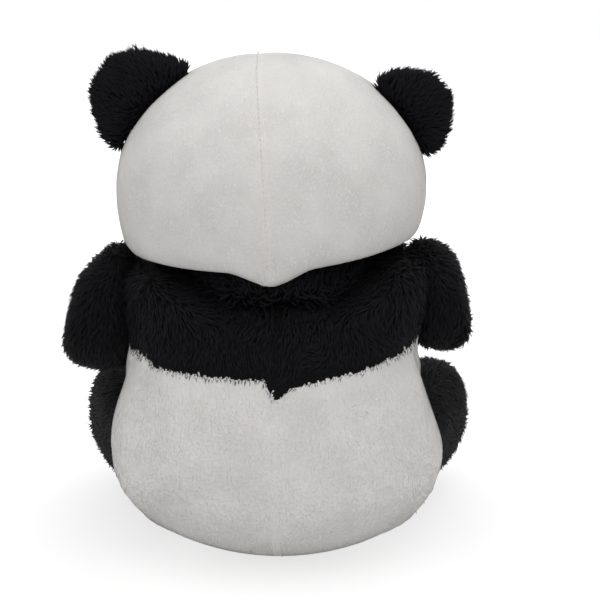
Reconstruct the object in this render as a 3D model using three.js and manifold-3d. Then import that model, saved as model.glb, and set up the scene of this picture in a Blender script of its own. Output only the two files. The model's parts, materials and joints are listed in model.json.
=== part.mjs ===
// A seated plush panda, 300 mm tall: sewn panels of pile fabric over polyester stuffing.
// Millimetres, +Z up. The panda faces -Y, sits on the plane z = 0 and its left side is +X.
// Each limb is a stuffed bag of its own, sewn to the torso at one patch, and turns about it.

import * as THREE from 'three';
import { mergeVertices } from 'three/addons/utils/BufferGeometryUtils.js';
import Module from 'manifold-3d';

const wasm = await Module();
wasm.setup();

// ---------------------------------------------------------------- driving dimensions

const SKIN = 3; // pile fabric with its backing, pressed flat
const FIT = 0.3; // clearance between two pieces that touch
const FAR = 400; // reach of the blocks that cut panels apart

const TORSO = {
  width: 203, // at the hips
  depth: 174,
  baseWidth: 84, // flat patch that the panda sits on
  hipHeight: 61, // height of the widest section
  height: 163, // flat top that carries the neck stuffing
  topWidth: 104,
  shoulders: 2.6, // fullness above the hips: 2 is a plain oval
  waist: 131, // height of the seam between white and black fabric
  baseSeam: 7, // height of the seam round the base panel
};

const HEAD = {
  width: 182,
  depth: 152,
  height: 152,
  top: 300, // height of the crown above the floor
  forward: 4, // the head sits this far in front of the neck
  aside: 5, // and leans this far to its left
  rim: 177, // height of the sewn lower edge
  crown: 2, // fullness above the widest line: 2 is a plain oval
  cheeks: 2.9, // fullness below it
};

const NECK = {
  pivot: 155, // height of the point that the head turns and nods about
  radius: 51.7, // round top of the neck stuffing
  columns: 30, // flats round the ball, and from its foot to its crown
  rows: 18,
};

const ARM = {
  shoulder: 139, // height of the middle of the shoulder patch
  sink: 7, // the patch lies this deep in the torso's side
  aside: 4, // both arms sit this far to the left of even
  forward: 6,
  tilt: 13, // lean of the torso's side, in degrees
  droop: 10, // the arm points this far below level
  rootRadius: 34,
  pawRadius: 25,
  length: 56, // shoulder to the middle of the paw
  thickness: 41,
  edge: 13, // rounding of the edges
};

const LEG = {
  reach: 44, // distance of the inner side from the middle plane, at the hip
  forward: 18,
  splay: 20, // degrees outwards
  lift: 9, // degrees that the leg has room to be raised by
  rootRadius: 40,
  footRadius: 47,
  length: 84, // hip to the middle of the foot
  thickness: 54,
  edge: 24,
  soleStart: 112, // distance of the sole seam from the hip
};

const EARS = [
  { side: 1, radius: 30, angle: 38 },
  { side: -1, radius: 26, angle: 32 },
];
const EAR = {
  thickness: 21,
  skin: 2.5,
  rootRadius: 7, // rounded lower edge that rolls on the head
  settle: 0.6, // the root lies this much closer to the head than the fit
  sink: 0.08, // share of the radius that the hinge line lies below the middle
  turnedBack: 6, // the ears stand this far behind the middle of the head
};

const MUZZLE = { width: 62, depth: 42, height: 46, forward: 70, drop: 24 };

const NOSE = {
  width: 22,
  depth: 12,
  height: 15,
  rise: 9, // above the middle of the muzzle
  back: 1.2, // its flat back, clear of the muzzle's curve
  edge: 2.4,
  stemRadius: 2.2,
  stemLength: 9,
};

const EYE = {
  side: 31,
  rise: 7, // above the middle of the head
  radius: 6.5,
  dome: 4.5,
  stemRadius: 2,
  stemLength: 9,
};

// A washer locks each stem behind the fabric. The slack clears the curve of the fabric's inside.
const WASHER = { radius: 6, thickness: 1.6, slack: 1.3, noseSlack: 2.2 };

const PATCH = { width: 34, height: 41, lean: 28, thickness: 1.6, outward: 3, drop: 1 };

const STITCH = { radius: 0.9, smileWidth: 26, smileDrop: 8, start: 3 };

const BEAN_BAG = { width: 50, depth: 100, height: 40, lift: 8, back: 5 };

// ---------------------------------------------------------------- solids from geometry

const radians = THREE.MathUtils.degToRad;

function solidOf(geometry) {
  const bare = geometry.index ? geometry.toNonIndexed() : geometry.clone();
  bare.deleteAttribute('normal');
  bare.deleteAttribute('uv');
  const welded = mergeVertices(bare, 1e-4);
  const corners = welded.index.array;
  const kept = [];
  for (let i = 0; i < corners.length; i += 3) {
    const [a, b, c] = corners.slice(i, i + 3);
    if (a !== b && b !== c && c !== a) kept.push(a, b, c);
  }
  return new wasm.Manifold(new wasm.Mesh({
    numProp: 3,
    vertProperties: Float32Array.from(welded.attributes.position.array),
    triVerts: Uint32Array.from(kept),
  }));
}

function geometryOf(solid) {
  const mesh = solid.getMesh();
  const geometry = new THREE.BufferGeometry();
  geometry.setAttribute('position', new THREE.BufferAttribute(Float32Array.from(mesh.vertProperties), 3));
  geometry.setIndex(Array.from(mesh.triVerts));
  geometry.computeVertexNormals();
  return geometry;
}

function ellipsoid(width, depth, height, centre, columns = 24, rows = 14) {
  const geometry = new THREE.SphereGeometry(1, columns, rows);
  geometry.rotateX(Math.PI / 2);
  geometry.scale(width / 2, depth / 2, height / 2);
  geometry.translate(centre.x, centre.y, centre.z);
  return solidOf(geometry);
}

function block(low, high) {
  const size = high.clone().sub(low);
  const geometry = new THREE.BoxGeometry(size.x, size.y, size.z);
  const middle = low.clone().add(high).multiplyScalar(0.5);
  geometry.translate(middle.x, middle.y, middle.z);
  return solidOf(geometry);
}

// A block that reaches far beyond the object on every side that isn't given.
function region({ x = [-FAR, FAR], y = [-FAR, FAR], z = [-FAR, FAR] }) {
  return block(new THREE.Vector3(x[0], y[0], z[0]), new THREE.Vector3(x[1], y[1], z[1]));
}

// A solid turned about the Z axis, its profile running from the axis back to the axis.
function turned(profile, columns, squash = 1, frame = null) {
  const geometry = new THREE.LatheGeometry(profile.map(([r, z]) => new THREE.Vector2(r, z)), columns);
  geometry.rotateX(Math.PI / 2);
  geometry.scale(1, squash, 1);
  if (frame) geometry.applyMatrix4(frame);
  return solidOf(geometry);
}

// A flat bag with round ends: two circles and their tangents, with rolled edges.
// Its length runs along local X from the root, its thickness along local Z from 0.
function limb({ rootRadius, tipRadius, length, thickness, edge }, inset, frame = null) {
  const root = rootRadius - inset;
  const tip = tipRadius - inset;
  const roll = edge - inset / 2;
  const lean = Math.asin((root - tip) / length);
  const outline = new THREE.Shape();
  outline.absarc(0, 0, root, Math.PI / 2 - lean, 1.5 * Math.PI + lean, false);
  outline.absarc(length, 0, tip, -Math.PI / 2 + lean, Math.PI / 2 - lean, false);
  const geometry = new THREE.ExtrudeGeometry(outline, {
    depth: thickness - 2 * inset - 2 * roll,
    curveSegments: 5,
    bevelEnabled: true,
    bevelThickness: roll,
    bevelSize: roll,
    bevelOffset: -roll,
    bevelSegments: 3,
  });
  geometry.translate(0, 0, inset + roll);
  if (frame) geometry.applyMatrix4(frame);
  return solidOf(geometry);
}

// A frame at a point, its X axis along the limb and its Z axis pointing away from the torso.
function limbFrame(origin, along, outward) {
  const across = outward.clone().cross(along);
  return new THREE.Matrix4().makeBasis(along, across, outward).setPosition(origin);
}

// ---------------------------------------------------------------- fabrics and fills

const finish = (color, roughness) => ({ color, roughness, metalness: 0 });
const WHITE_PLUSH = finish(0xe4e2df, 0.95);
const BLACK_PLUSH = finish(0x16171a, 0.95);
const STUFFING = finish(0xf3f1ea, 1);
const BEANS = finish(0xd8cfb8, 0.9);
const GLOSS_BLACK = finish(0x0c0c0e, 0.2);
const WASHER_WHITE = finish(0xe8e8e4, 0.5);
const THREAD_BLACK = finish(0x101012, 0.8);

const panda = new THREE.Group();

function add(name, solid, look, group = panda) {
  const mesh = new THREE.Mesh(geometryOf(solid), new THREE.MeshStandardMaterial(look));
  mesh.name = name;
  group.add(mesh);
}

function groupAt(frame, parent = panda) {
  const group = new THREE.Group();
  group.applyMatrix4(frame);
  parent.add(group);
  return group;
}

const SIDES = [
  { side: 1, name: 'left' },
  { side: -1, name: 'right' },
];

// The half of space on one side of the middle plane, less half a seam.
const half = (side) => region({ x: side > 0 ? [FIT / 2, FAR] : [-FAR, -FIT / 2] });

// ---------------------------------------------------------------- arm and leg frames

// Half-width of the torso at a height above the hips.
function torsoSide(z) {
  const top = TORSO.topWidth / 2;
  const share = (z - TORSO.hipHeight) / (TORSO.height - TORSO.hipHeight);
  return top + (TORSO.width / 2 - top) * (1 - share ** TORSO.shoulders) ** (1 / TORSO.shoulders);
}

function armFrame(side) {
  const tilt = radians(ARM.tilt);
  const droop = radians(ARM.droop);
  const outward = new THREE.Vector3(side * Math.cos(tilt), 0, Math.sin(tilt));
  const down = new THREE.Vector3(side * Math.sin(tilt), 0, -Math.cos(tilt));
  const along = new THREE.Vector3(0, -Math.cos(droop), 0).addScaledVector(down, Math.sin(droop));
  const reach = torsoSide(ARM.shoulder) - ARM.sink;
  const shoulder = new THREE.Vector3(side * reach + ARM.aside, -ARM.forward, ARM.shoulder);
  return limbFrame(shoulder, along, outward);
}

// The leg's fall from the hip to the foot, which lays its tapered underside on the floor.
const legFall = Math.asin((LEG.rootRadius - LEG.footRadius) / LEG.length);

function legFrame(side, fall = legFall) {
  const splay = radians(LEG.splay);
  const outward = new THREE.Vector3(side * Math.cos(splay), Math.sin(splay), 0);
  const ahead = new THREE.Vector3(side * Math.sin(splay), -Math.cos(splay), 0);
  const along = ahead.multiplyScalar(Math.cos(fall)).add(new THREE.Vector3(0, 0, -Math.sin(fall)));
  const hip = new THREE.Vector3(side * LEG.reach, -LEG.forward, LEG.rootRadius);
  return limbFrame(hip, along, outward);
}

// ---------------------------------------------------------------- torso

function torsoProfile(inset) {
  const hips = TORSO.width / 2;
  const steps = 6;
  const rise = (z) => inset + (z * (TORSO.height - 2 * inset)) / TORSO.height;
  const top = TORSO.topWidth / 2;
  const start = Math.acos(TORSO.baseWidth / TORSO.width);
  const bowl = TORSO.hipHeight / Math.sin(start);
  const full = 2 / TORSO.shoulders;
  const lower = [];
  const upper = [];
  for (let i = 0; i <= steps; i += 1) {
    const below = start * (1 - i / steps);
    lower.push([hips * Math.cos(below) - inset, rise(TORSO.hipHeight - bowl * Math.sin(below))]);
    const above = (i / steps) * (Math.PI / 2);
    upper.push([
      top + (hips - top) * Math.max(0, Math.cos(above)) ** full - inset,
      rise(TORSO.hipHeight + (TORSO.height - TORSO.hipHeight) * Math.sin(above) ** full),
    ]);
  }
  return [[0, rise(0)], ...lower, ...upper.slice(1), [0, rise(TORSO.height)]];
}

// The room that a leg needs in the torso, from lying on the floor to fully raised: round
// behind the hip, level below, and open ahead up to the raised leg's upper side.
function legRoom(side, inset) {
  const steps = 5;
  const slack = 1 / Math.cos(Math.PI / (4 * steps)); // keeps the round wall's flats clear of the hip
  const radius = (LEG.rootRadius + FIT + inset) * slack;
  const rise = radians(LEG.lift) - 2 * legFall;
  const outline = new THREE.Shape();
  outline.absarc(0, 0, radius, Math.PI / 2 + rise, 1.5 * Math.PI, false);
  outline.lineTo(FAR, -radius);
  outline.lineTo(FAR * Math.cos(rise), radius * Math.cos(rise) + FAR * Math.sin(rise));
  outline.closePath();
  const geometry = new THREE.ExtrudeGeometry(outline, {
    depth: FAR, curveSegments: steps, bevelEnabled: false,
  });
  geometry.translate(0, 0, -inset);
  // Local Y points down on the left side and up on the right, so the outline is turned over.
  if (side > 0) geometry.rotateX(Math.PI).translate(0, 0, FAR - 2 * inset);
  geometry.applyMatrix4(legFrame(side, 0));
  return solidOf(geometry);
}

function armSide(side, inset) {
  const slab = new THREE.BoxGeometry(2 * FAR, 2 * FAR, FAR);
  slab.translate(0, 0, FAR / 2 - inset);
  slab.applyMatrix4(armFrame(side));
  return solidOf(slab);
}

function torsoSolid(inset) {
  let solid = turned(torsoProfile(inset), 24, TORSO.depth / TORSO.width);
  for (const { side } of SIDES) {
    solid = solid.subtract(armSide(side, inset)).subtract(legRoom(side, inset));
  }
  return solid;
}

const torsoSkin = torsoSolid(0).subtract(torsoSolid(SKIN));
const back = region({ y: [FIT / 2, FAR] });
const front = region({ y: [-FAR, -FIT / 2] });
const aboveWaist = region({ z: [TORSO.waist + FIT / 2, FAR] });
const belowWaist = region({ z: [TORSO.baseSeam + FIT / 2, TORSO.waist - FIT / 2] });

for (const { side, name } of SIDES) {
  const backHalf = torsoSkin.intersect(back).intersect(half(side));
  const frontHalf = torsoSkin.intersect(front).intersect(half(side));
  add(`upper_back_${name}`, backHalf.intersect(aboveWaist), BLACK_PLUSH);
  add(`lower_back_${name}`, backHalf.intersect(belowWaist), WHITE_PLUSH);
  add(`belly_${name}`, frontHalf.intersect(belowWaist), WHITE_PLUSH);
}
add('chest', torsoSkin.intersect(front).intersect(aboveWaist), BLACK_PLUSH);
add('base_panel', torsoSkin.intersect(region({ z: [-FAR, TORSO.baseSeam - FIT / 2] })), WHITE_PLUSH);

const beanCentre = new THREE.Vector3(0, BEAN_BAG.back, SKIN + BEAN_BAG.lift + BEAN_BAG.height / 2);
const beanBag = (grow) => ellipsoid(
  BEAN_BAG.width + grow, BEAN_BAG.depth + grow, BEAN_BAG.height + grow, beanCentre, 16, 8);
add('bean_bag', beanBag(0), BEANS);

// The stuffing is open underneath the bean bag, where the bag is pushed in last.
const beanMouth = BEAN_BAG.width / 3;
const beanWay = turned([[0, 0], [beanMouth, 0], [beanMouth, beanCentre.z], [0, beanCentre.z]], 12);
add('torso_stuffing', torsoSolid(SKIN + FIT).subtract(beanBag(2 * FIT)).subtract(beanWay), STUFFING);

// ---------------------------------------------------------------- neck

const neckPivot = new THREE.Vector3(0, 0, NECK.pivot);
const neckBall = (radius, centre) => ellipsoid(
  2 * radius, 2 * radius, 2 * radius, centre, NECK.columns, NECK.rows);
const aboveTorso = region({ z: [TORSO.height + FIT, FAR] });
add('neck_stuffing', neckBall(NECK.radius, neckPivot).intersect(aboveTorso), STUFFING);

// ---------------------------------------------------------------- arms and legs

for (const { side, name } of SIDES) {
  const group = groupAt(armFrame(side));
  const size = { ...ARM, tipRadius: ARM.pawRadius };
  const lifted = new THREE.Matrix4().makeTranslation(0, 0, FIT);
  const skin = limb(size, 0, lifted).subtract(limb(size, SKIN, lifted));
  const seam = FIT + ARM.thickness / 2;
  add(`arm_${name}_outer`, skin.intersect(region({ z: [seam + FIT / 2, FAR] })), BLACK_PLUSH, group);
  add(`arm_${name}_inner`, skin.intersect(region({ z: [-FAR, seam - FIT / 2] })), BLACK_PLUSH, group);
  add(`arm_${name}_stuffing`, limb(size, SKIN + FIT, lifted), STUFFING, group);
}

for (const { side, name } of SIDES) {
  const group = groupAt(legFrame(side));
  const size = { ...LEG, tipRadius: LEG.footRadius };
  const lifted = new THREE.Matrix4().makeTranslation(0, 0, FIT);
  const skin = limb(size, 0, lifted).subtract(limb(size, SKIN, lifted));
  const seam = FIT + LEG.thickness / 2;
  const shank = skin.intersect(region({ x: [-FAR, LEG.soleStart - FIT / 2] }));
  add(`leg_${name}_outer`, shank.intersect(region({ z: [seam + FIT / 2, FAR] })), BLACK_PLUSH, group);
  add(`leg_${name}_inner`, shank.intersect(region({ z: [-FAR, seam - FIT / 2] })), BLACK_PLUSH, group);
  add(`leg_${name}_sole`, skin.intersect(region({ x: [LEG.soleStart + FIT / 2, FAR] })), BLACK_PLUSH, group);
  add(`leg_${name}_stuffing`, limb(size, SKIN + FIT, lifted), STUFFING, group);
}

// ---------------------------------------------------------------- head

const headCentre = new THREE.Vector3(HEAD.aside, -HEAD.forward, HEAD.top - HEAD.height / 2);
const headGroup = groupAt(new THREE.Matrix4().setPosition(headCentre));

// Half-width of the head at a height, as a share of its widest.
function headShare(z) {
  const height = Math.min(1, Math.abs(2 * z / HEAD.height));
  const fullness = z > 0 ? HEAD.crown : HEAD.cheeks;
  return (1 - height ** fullness) ** (1 / fullness);
}

function headBall(inset) {
  const rows = 14;
  const profile = [];
  for (let i = 0; i <= rows; i += 1) {
    const z = -Math.cos((i / rows) * Math.PI) * (HEAD.height / 2);
    const inside = 1 - (2 * inset) / HEAD.height;
    const radius = headShare(z) * (HEAD.width / 2 - inset);
    profile.push([i % rows ? radius : 0, z * inside]);
  }
  const squash = (HEAD.depth - 2 * inset) / (HEAD.width - 2 * inset);
  return turned(profile, 24, squash);
}

// A point on the face, and the direction that the fabric faces there.
function onHead(x, z) {
  const at = (px, pz) => new THREE.Vector3(
    px, -(HEAD.depth / 2) * Math.sqrt(headShare(pz) ** 2 - (2 * px / HEAD.width) ** 2), pz);
  const point = at(x, z);
  const sideways = at(x + 1, z).sub(at(x - 1, z));
  const upwards = at(x, z + 1).sub(at(x, z - 1));
  return { point, facing: sideways.cross(upwards).normalize() };
}

// A frame at a point with its Z axis pointing out of the fabric.
function facingFrame(point, facing, roll = 0) {
  const turn = new THREE.Quaternion().setFromUnitVectors(new THREE.Vector3(0, -1, 0), facing);
  const upright = new THREE.Matrix4().makeRotationX(Math.PI / 2);
  const rolled = new THREE.Matrix4().makeRotationZ(roll);
  return new THREE.Matrix4().makeRotationFromQuaternion(turn).multiply(upright).multiply(rolled)
    .setPosition(point);
}

const eyes = SIDES.map(({ side, name }) => {
  const { point, facing } = onHead(side * EYE.side, EYE.rise);
  return { side, name, frame: facingFrame(point, facing) };
});

// An eye patch is a thin oval of black fabric laid on the face.
function eyePatch(side) {
  const { point, facing } = onHead(side * (EYE.side + PATCH.outward), EYE.rise - PATCH.drop);
  const frame = facingFrame(point, facing, side * radians(PATCH.lean));
  const oval = new THREE.CylinderGeometry(1, 1, 60, 18);
  oval.rotateX(Math.PI / 2);
  oval.scale(PATCH.width / 2, PATCH.height / 2, 1);
  oval.applyMatrix4(frame);
  return headBall(-FIT - PATCH.thickness).subtract(headBall(-FIT)).intersect(solidOf(oval));
}

const pin = (radius, low, high, frame) => turned(
  [[0, low], [radius, low], [radius, high], [0, high]], 12, 1, frame);

const seatOfEye = FIT + PATCH.thickness + FIT;
// The hollow's flats stay outside the ball's corners, so the head turns freely on it.
const cupSlack = 1 / (Math.cos(Math.PI / NECK.columns) * Math.cos(Math.PI / (2 * NECK.rows)));
const cup = neckBall((NECK.radius + FIT) * cupSlack, neckPivot.clone().sub(headCentre));
const aboveRim = region({ z: [HEAD.rim - headCentre.z, FAR] });

let headSkin = headBall(0).subtract(headBall(SKIN)).intersect(aboveRim);
let headFill = headBall(SKIN + FIT).intersect(aboveRim).subtract(cup);
for (const eye of eyes) {
  headSkin = headSkin.subtract(pin(EYE.stemRadius + FIT, -EYE.stemLength - 8, 8, eye.frame));
  headFill = headFill.subtract(pin(WASHER.radius + FIT, -EYE.stemLength - FIT, 8, eye.frame));
}

for (const { side, name } of SIDES) {
  const halfSkin = headSkin.intersect(half(side));
  add(`head_back_${name}`, halfSkin.intersect(back), WHITE_PLUSH, headGroup);
  add(`head_face_${name}`, halfSkin.intersect(front), WHITE_PLUSH, headGroup);
}
add('head_stuffing', headFill, STUFFING, headGroup);

for (const { side, name, frame } of eyes) {
  const hole = pin(EYE.stemRadius + FIT, -8, 12, frame);
  add(`eye_patch_${name}`, eyePatch(side).subtract(hole), BLACK_PLUSH, headGroup);
  const profile = [[0, -EYE.stemLength], [EYE.stemRadius, -EYE.stemLength], [EYE.stemRadius, seatOfEye]];
  for (let i = 0; i <= 4; i += 1) {
    const turn = (i / 4) * (Math.PI / 2);
    profile.push([EYE.radius * Math.cos(turn), seatOfEye + EYE.dome * Math.sin(turn)]);
  }
  profile[profile.length - 1][0] = 0;
  add(`eye_${name}`, turned(profile, 12, 1, frame), GLOSS_BLACK, headGroup);
  const washerTop = -SKIN - WASHER.slack;
  const ring = pin(WASHER.radius, washerTop - WASHER.thickness, washerTop, frame)
    .subtract(pin(EYE.stemRadius + FIT, washerTop - 5, washerTop + 2, frame));
  add(`eye_washer_${name}`, ring, WASHER_WHITE, headGroup);
}

// ---------------------------------------------------------------- muzzle, nose and mouth

const muzzleCentre = new THREE.Vector3(0, -MUZZLE.forward, -MUZZLE.drop);
const muzzleBall = (inset) => ellipsoid(
  MUZZLE.width - 2 * inset, MUZZLE.depth - 2 * inset, MUZZLE.height - 2 * inset, muzzleCentre, 16, 8);

function onMuzzle(x, z, proud) {
  const share = 1 - (2 * x / MUZZLE.width) ** 2 - (2 * z / MUZZLE.height) ** 2;
  return new THREE.Vector3(x, -(MUZZLE.depth / 2) * Math.sqrt(share) - proud, z).add(muzzleCentre);
}

const noseSeat = onMuzzle(0, NOSE.rise, 0);
const noseFacing = new THREE.Vector3(
  0, (noseSeat.y - muzzleCentre.y) / MUZZLE.depth ** 2, NOSE.rise / MUZZLE.height ** 2).normalize();
const noseFrame = facingFrame(noseSeat, noseFacing);
const noseHalf = NOSE.width / 2;
const noseProfile = [
  [0, NOSE.back],
  [noseHalf - NOSE.edge, NOSE.back],
  [noseHalf, NOSE.back + NOSE.edge],
  [noseHalf - NOSE.edge, NOSE.depth * 0.62],
  [noseHalf * 0.6, NOSE.depth * 0.9],
  [0, NOSE.depth],
];
const noseShell = turned(noseProfile, 16, NOSE.height / NOSE.width, noseFrame);
const muzzleClear = muzzleBall(-FIT);
const noseStem = pin(NOSE.stemRadius, -NOSE.stemLength, FIT + 1.5, noseFrame);
const noseHole = (radius, depth) => pin(radius + FIT, -depth, 8, noseFrame);

const muzzleSkin = muzzleBall(0).subtract(muzzleBall(SKIN)).subtract(headBall(-FIT));
add('muzzle_panel', muzzleSkin.subtract(noseHole(NOSE.stemRadius, 14)), WHITE_PLUSH, headGroup);
const muzzleFill = muzzleBall(SKIN + FIT).subtract(headBall(-FIT));
add('muzzle_stuffing', muzzleFill.subtract(noseHole(WASHER.radius, NOSE.stemLength)), STUFFING, headGroup);
add('nose', noseShell.subtract(muzzleClear).add(noseStem), GLOSS_BLACK, headGroup);
const noseWasherTop = -SKIN - WASHER.noseSlack;
const noseWasher = pin(WASHER.radius, noseWasherTop - WASHER.thickness, noseWasherTop, noseFrame)
  .subtract(pin(NOSE.stemRadius + FIT, noseWasherTop - 5, noseWasherTop + 2, noseFrame));
add('nose_washer', noseWasher, WASHER_WHITE, headGroup);

// Embroidery: one thread cord straight down from the nose, and a curved one across below it.
function cordAlong(points, steps) {
  const section = new THREE.Shape();
  section.absarc(0, 0, STITCH.radius, 0, 2 * Math.PI, false);
  return solidOf(new THREE.ExtrudeGeometry(section, {
    steps, curveSegments: 3, bevelEnabled: false, extrudePath: new THREE.CatmullRomCurve3(points),
  }));
}

const proud = STITCH.radius + FIT + 0.2;
const smile = [];
for (let i = -4; i <= 4; i += 1) {
  const share = i / 4;
  const drop = STITCH.start + STITCH.smileDrop * (1 - share * share);
  smile.push(onMuzzle((STITCH.smileWidth / 2) * share, -drop, proud));
}
const smileBottom = STITCH.start + STITCH.smileDrop;
const lip = [0, 0.5, 1].map((share) => onMuzzle(
  0, THREE.MathUtils.lerp(1, -smileBottom + 2 * STITCH.radius + FIT + 0.4, share), proud));
add('mouth_stitch', cordAlong(smile, 14), THREAD_BLACK, headGroup);
add('lip_stitch', cordAlong(lip, 5), THREAD_BLACK, headGroup);

// ---------------------------------------------------------------- ears

// Local X runs along the hinge line, local Y out from the head and local Z towards the face.
function earSolid(radius, inset, hinge) {
  const bag = ellipsoid(
    2 * (radius - inset), 2 * (radius - inset), EAR.thickness - 2 * inset, hinge, 14, 8);
  const root = new THREE.CylinderGeometry(EAR.rootRadius - inset, EAR.rootRadius - inset, 2 * FAR, 12);
  root.rotateZ(Math.PI / 2);
  const outside = region({ y: [0, FAR] });
  return bag.intersect(outside.add(solidOf(root)));
}

for (const { side, radius, angle } of EARS) {
  const name = side > 0 ? 'left' : 'right';
  const turn = radians(angle);
  const level = Math.sqrt(1 - (2 * EAR.turnedBack / HEAD.depth) ** 2);
  const scalp = new THREE.Vector3(
    side * (HEAD.width / 2) * level * Math.cos(turn),
    EAR.turnedBack,
    (HEAD.height / 2) * level * Math.sin(turn));
  const out = new THREE.Vector3(
    scalp.x / HEAD.width ** 2, 0, scalp.z / HEAD.height ** 2).normalize();
  const along = new THREE.Vector3(side * out.z, 0, -side * out.x);
  const facing = along.clone().cross(out);
  const root = scalp.addScaledVector(out, EAR.rootRadius + FIT - EAR.settle);
  const group = groupAt(new THREE.Matrix4().makeBasis(along, out, facing).setPosition(root), headGroup);
  const middle = new THREE.Vector3(0, radius * EAR.sink, 0);
  const skin = earSolid(radius, 0, middle).subtract(earSolid(radius, EAR.skin, middle));
  const ahead = facing.y < 0 ? [FIT / 2, FAR] : [-FAR, -FIT / 2];
  const behind = facing.y < 0 ? [-FAR, -FIT / 2] : [FIT / 2, FAR];
  add(`ear_${name}_front`, skin.intersect(region({ z: ahead })), BLACK_PLUSH, group);
  add(`ear_${name}_back`, skin.intersect(region({ z: behind })), BLACK_PLUSH, group);
  add(`ear_${name}_stuffing`, earSolid(radius, EAR.skin + FIT, middle), STUFFING, group);
}

export default panda;
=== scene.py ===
"""A seated plush panda, 300 mm tall: sewn bags of pile fabric over polyester stuffing.

Metres, +Z up. The panda faces -Y, its left side is +X, and it sits on the floor at z = 0.
"""

import json
import math

import bmesh
import bpy
import numpy as np
from mathutils import Matrix, Vector
from mathutils.bvhtree import BVHTree


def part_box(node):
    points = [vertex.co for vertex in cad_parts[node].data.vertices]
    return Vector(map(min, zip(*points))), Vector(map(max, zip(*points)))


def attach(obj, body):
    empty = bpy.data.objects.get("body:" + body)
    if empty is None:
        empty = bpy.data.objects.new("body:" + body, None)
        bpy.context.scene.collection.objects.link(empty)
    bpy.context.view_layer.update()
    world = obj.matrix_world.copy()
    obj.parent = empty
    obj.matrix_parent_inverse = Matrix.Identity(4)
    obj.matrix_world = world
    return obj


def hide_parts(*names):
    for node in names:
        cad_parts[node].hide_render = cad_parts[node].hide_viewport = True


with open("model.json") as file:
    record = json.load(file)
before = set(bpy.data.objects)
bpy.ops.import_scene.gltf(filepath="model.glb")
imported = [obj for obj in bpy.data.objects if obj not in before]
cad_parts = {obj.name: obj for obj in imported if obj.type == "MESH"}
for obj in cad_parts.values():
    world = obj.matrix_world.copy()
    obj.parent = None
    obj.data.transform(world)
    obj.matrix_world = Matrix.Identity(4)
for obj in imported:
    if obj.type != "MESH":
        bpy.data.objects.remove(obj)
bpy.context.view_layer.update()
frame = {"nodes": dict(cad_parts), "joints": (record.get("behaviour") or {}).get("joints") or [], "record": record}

scene = bpy.context.scene

# ---------------------------------------------------------------- camera, light and floor
# A long lens behind the panda, a little above it. Soft light comes from a white room, a wide
# box overhead and a weaker one behind the camera.

CAMERA_DISTANCE = 0.9
CAMERA_RISE = math.radians(14)
CAMERA_AIM = Vector((-0.012, 0, 0.1537))
CAMERA_LENS = 89.65  # mm
CAMERA_SENSOR = 36  # mm wide
LAMP_AIM = (0, 0, 0.15)


def node(tree, kind, links=None, **settings):
    """Adds a node with its settings, and links or sets its inputs."""
    made = tree.nodes.new(kind)
    for key, value in settings.items():
        setattr(made, key, value)
    for key, value in (links or {}).items():
        if isinstance(value, bpy.types.NodeSocket):
            tree.links.new(value, made.inputs[key])
        else:
            made.inputs[key].default_value = value
    return made


def backdrop_share(tree):
    """1 on rays that see the backdrop straight, in a gloss or through glass, and 0 on light."""
    path = node(tree, "ShaderNodeLightPath").outputs
    straight = node(tree, "ShaderNodeMath", {
        0: path["Is Camera Ray"], 1: path["Is Glossy Ray"]}, operation="MAXIMUM")
    return node(tree, "ShaderNodeMath", {
        0: straight.outputs[0], 1: path["Is Transmission Ray"]}, operation="MAXIMUM").outputs[0]


def linked(name, data):
    """A new object in the scene."""
    made = bpy.data.objects.new(name, data)
    scene.collection.objects.link(made)
    return made


def aimed(thing, place, aim):
    """Links a camera or lamp into the scene, looking from a place to a point."""
    holder = linked(thing.name, thing)
    turn = (Vector(aim) - Vector(place)).to_track_quat("-Z", "Y")
    holder.matrix_world = Matrix.Translation(Vector(place)) @ turn.to_matrix().to_4x4()
    return holder


lens = bpy.data.cameras.new("camera")
lens.lens = CAMERA_LENS
lens.sensor_width = CAMERA_SENSOR
behind = Vector((0, math.cos(CAMERA_RISE), math.sin(CAMERA_RISE)))
scene.camera = aimed(lens, CAMERA_AIM + CAMERA_DISTANCE * behind, CAMERA_AIM)
scene.view_settings.view_transform = "Standard"

# Watts, width and place of each lamp.
for name, watts, size, place in (
    ("softbox_above", 8.0, 1.3, (-0.15, 0.35, 1.5)),
    ("softbox_behind", 1.5, 1.1, (0.5, 1.4, 0.7)),
    ("softbox_front", 3.0, 1.1, (-0.5, -1.4, 0.7)),
):
    lamp = bpy.data.lights.new(name, "AREA")
    lamp.energy = watts
    lamp.size = size
    aimed(lamp, place, LAMP_AIM)

WHITE = (1, 1, 1, 1)
ROOM_LIGHT = 0.66
world = bpy.data.worlds.new("white_room")
scene.world = world
world.use_nodes = True
world.node_tree.nodes.clear()
room_light = node(world.node_tree, "ShaderNodeBackground", {"Color": WHITE, "Strength": ROOM_LIGHT})
room_seen = node(world.node_tree, "ShaderNodeBackground", {"Color": WHITE, "Strength": 1})
room = node(world.node_tree, "ShaderNodeMixShader", {
    0: backdrop_share(world.node_tree), 1: room_light.outputs[0], 2: room_seen.outputs[0]})
node(world.node_tree, "ShaderNodeOutputWorld", {"Surface": room.outputs[0]})

FLOOR_HALF = 4.0
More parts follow.
